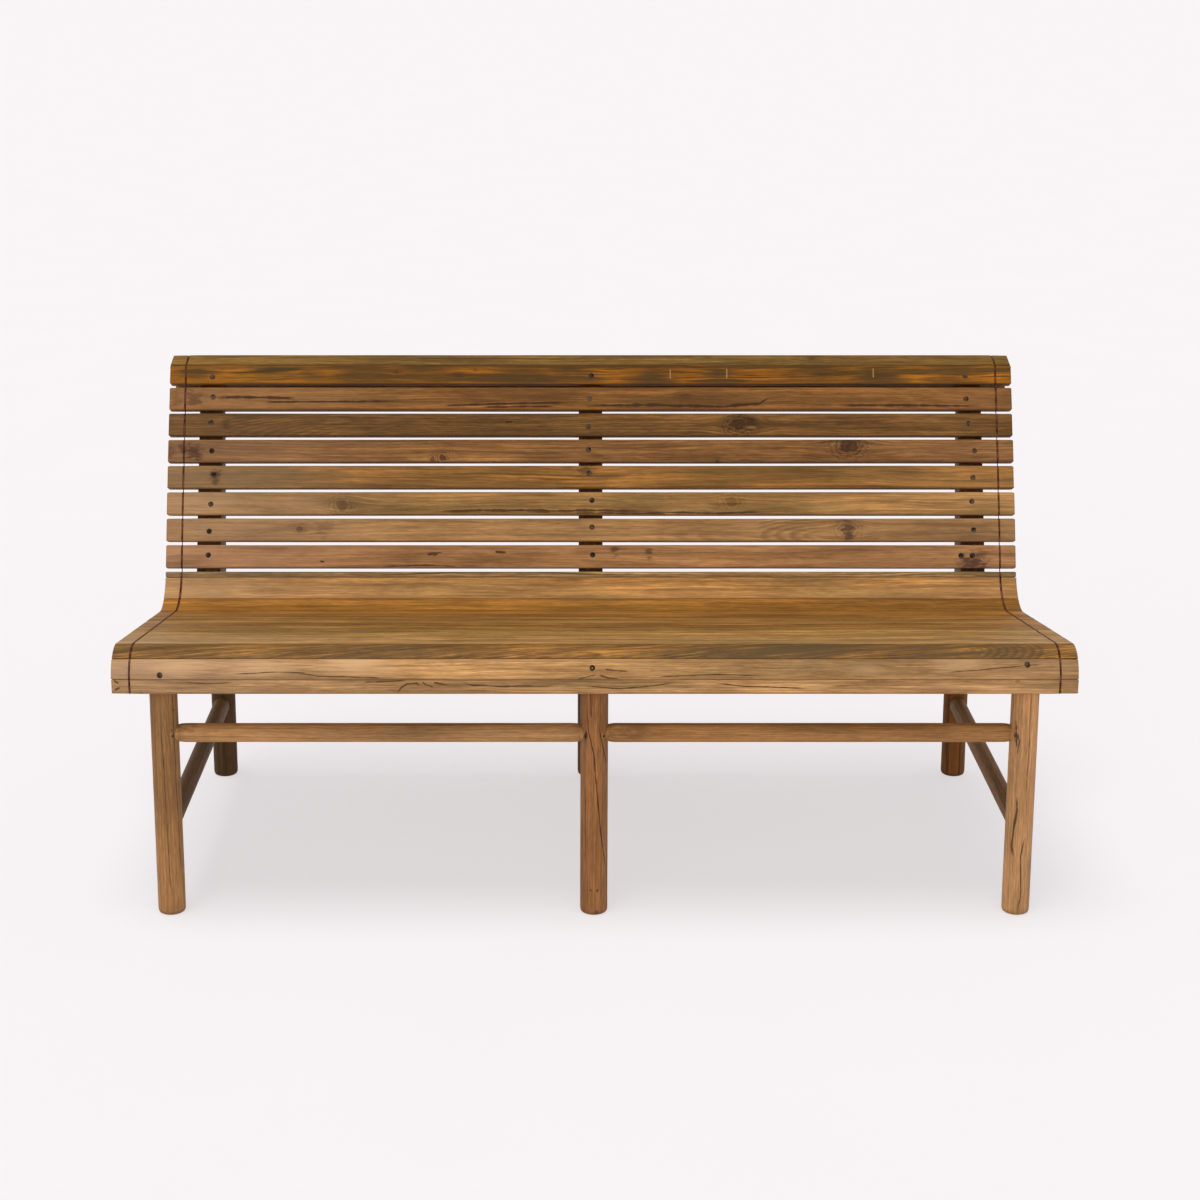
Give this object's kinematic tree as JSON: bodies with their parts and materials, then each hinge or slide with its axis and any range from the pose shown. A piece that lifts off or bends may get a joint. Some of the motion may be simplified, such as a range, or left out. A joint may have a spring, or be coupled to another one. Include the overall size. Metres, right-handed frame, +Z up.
{
  "type": "garden bench",
  "caption": "Slatted wooden garden bench with an S-curved seat and back on round legs joined by round stretchers.",
  "frame": {"origin": "centre of the bounding box at floor level, between the six feet", "axes": "+Z up, +X along the bench's length, the seat faces -Y"},
  "size_m": [1.5, 0.6918, 0.7867],
  "materials": {
    "teak_back": "oiled teak, warm brown with dark streaks, satin",
    "teak_seat": "oiled teak, golden brown, worn satin",
    "teak_apron": "oiled teak, light brown, satin",
    "teak_rib": "sawn teak, dark brown, matte",
    "teak_pole": "turned teak pole, mid brown, satin",
    "copper_wire": "tarnished copper",
    "dark_steel": "dull dark steel"
  },
  "bodies": {
    "root": {"apron_screw_centre": "dark_steel", "apron_screw_left": "dark_steel", "apron_screw_right": "dark_steel", "apron_strip_lower": "teak_apron", "apron_strip_upper": "teak_apron", "back_slat_1": "teak_back", "back_slat_2": "teak_back", "back_slat_3": "teak_back", "back_slat_4": "teak_back", "back_slat_5": "teak_back", "back_slat_6": "teak_back", "back_slat_7": "teak_back", "back_slat_8": "teak_back", "back_stretcher_left": "teak_pole", "back_stretcher_right": "teak_pole", "back_upright_centre": "teak_rib", "back_upright_left": "teak_rib", "back_upright_right": "teak_rib", "bend_strip_1": "teak_seat", "bend_strip_2": "teak_seat", "closing_strip": "teak_seat", "front_stretcher_left": "teak_pole", "front_stretcher_right": "teak_pole", "inlay_wire_left": "copper_wire", "inlay_wire_right": "copper_wire", "leg_back_centre": "teak_pole", "leg_back_left": "teak_pole", "leg_back_right": "teak_pole", "leg_front_centre": "teak_pole", "leg_front_left": "teak_pole", "leg_front_right": "teak_pole", "nosing_strip": "teak_apron", "rear_top_strip": "teak_back", "seat_bearer_centre": "teak_rib", "seat_bearer_left": "teak_rib", "seat_bearer_right": "teak_rib", "seat_strip_1": "teak_seat", "seat_strip_10": "teak_seat", "seat_strip_2": "teak_seat", "seat_strip_3": "teak_seat", "seat_strip_4": "teak_seat", "seat_strip_5": "teak_seat", "seat_strip_6": "teak_seat", "seat_strip_7": "teak_seat", "seat_strip_8": "teak_seat", "seat_strip_9": "teak_seat", "side_stretcher_centre": "teak_pole", "side_stretcher_left": "teak_pole", "side_stretcher_right": "teak_pole", "tenon_pin_back_centre_left": "dark_steel", "tenon_pin_back_centre_right": "dark_steel", "tenon_pin_back_left": "dark_steel", "tenon_pin_back_right": "dark_steel", "tenon_pin_front_centre_left": "dark_steel", "tenon_pin_front_centre_right": "dark_steel", "tenon_pin_front_left": "dark_steel", "tenon_pin_front_right": "dark_steel", "top_cap_strip": "teak_back"}
  },
  "joints": []
}
